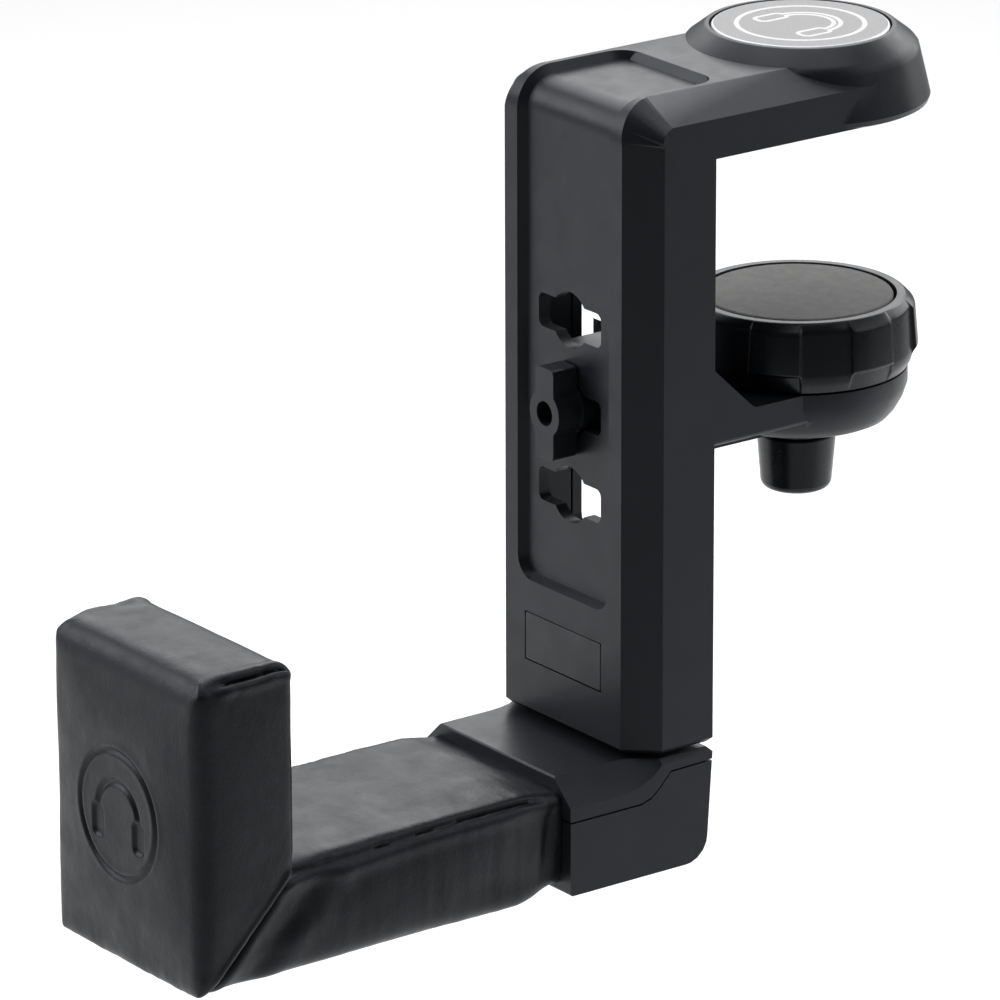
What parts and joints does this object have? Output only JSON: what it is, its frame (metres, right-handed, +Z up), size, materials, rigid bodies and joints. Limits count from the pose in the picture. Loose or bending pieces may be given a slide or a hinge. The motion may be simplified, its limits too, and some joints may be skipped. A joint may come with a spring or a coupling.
{
  "type": "headphone hook",
  "caption": "Desk-edge headphone hook: C-shaped clamp frame, plug-in lower jaw with a screw knob, and a swivelling padded L hook.",
  "frame": {"origin": "centre of the upper jaw pad's lower face, where the top of the desk touches it", "axes": "+Z up out of the desk top, +Y from the desk's edge in over the desk, +X across the clamp frame; at rest the padded hook points along -Y"},
  "size_m": [0.0448, 0.1641, 0.1384],
  "materials": {
    "shell_plastic": "charcoal moulded plastic, fine satin texture",
    "black_plastic": "black moulded plastic, semi-gloss",
    "label_plastic": "smooth dark grey label plate, blank",
    "badge_metal": "fine satin grey with a bright turned rim",
    "steel": "zinc plated",
    "rubber": "matte dark grey, slightly mottled",
    "foam": "open-cell foam",
    "leather": "black synthetic leather, fine creases, soft sheen"
  },
  "bodies": {
    "frame": {"frame_shell": "shell_plastic", "frame_back_cover": "shell_plastic", "stiffener_plate": "steel", "badge_disc": "badge_metal", "label_plate": "label_plastic", "jaw_pad": "rubber", "cover_screw_1": "steel", "cover_screw_2": "steel", "cover_screw_3": "steel", "cover_screw_4": "steel", "pivot_bolt": "steel", "pivot_washer": "steel", "pivot_spring_washer": "steel", "pivot_nut": "steel"},
    "hook": {"hook_base_cover": "shell_plastic", "hook_base_shell": "shell_plastic", "base_screw_1": "steel", "base_screw_2": "steel", "base_screw_3": "steel", "base_screw_4": "steel", "core_screw_1": "steel", "core_screw_2": "steel", "hook_core": "steel", "arm_foam": "foam", "post_foam": "foam", "arm_leather": "leather", "post_leather": "leather"},
    "clamp_arm": {"clamp_arm": "shell_plastic", "lock_key": "shell_plastic", "key_screw": "steel", "screw_nut": "steel", "screw_cap": "black_plastic"},
    "clamp_pad": {"pad_plate": "black_plastic", "pad_pin": "steel", "pad_rubber": "rubber"},
    "knob": {"clamp_knob": "black_plastic", "clamp_screw": "steel"}
  },
  "joints": [
    {"name": "hook_swivel", "type": "hinge", "parent": "frame", "child": "hook", "pos_m": [0, -0.04285, -0.1036], "axis": [0, 0, 1], "continuous": true},
    {"name": "arm_unlock", "type": "hinge", "parent": "frame", "child": "clamp_arm", "pos_m": [0, -0.0344, -0.0455], "axis": [0, 1, 0], "range_deg": [0, 90]},
    {"name": "clamp_lift", "type": "slide", "parent": "clamp_arm", "child": "clamp_pad", "axis": [0, 0, 1], "range_m": [0, 0.0156]},
    {"name": "knob_turn", "type": "hinge", "parent": "clamp_pad", "child": "knob", "pos_m": [0, 0, -0.0431], "axis": [0, 0, 1], "range_deg": [0, 4493]}
  ],
  "couplings": [
    {"joint": "knob_turn", "follows": "clamp_lift", "rad_per_m": 5026.5}
  ]
}
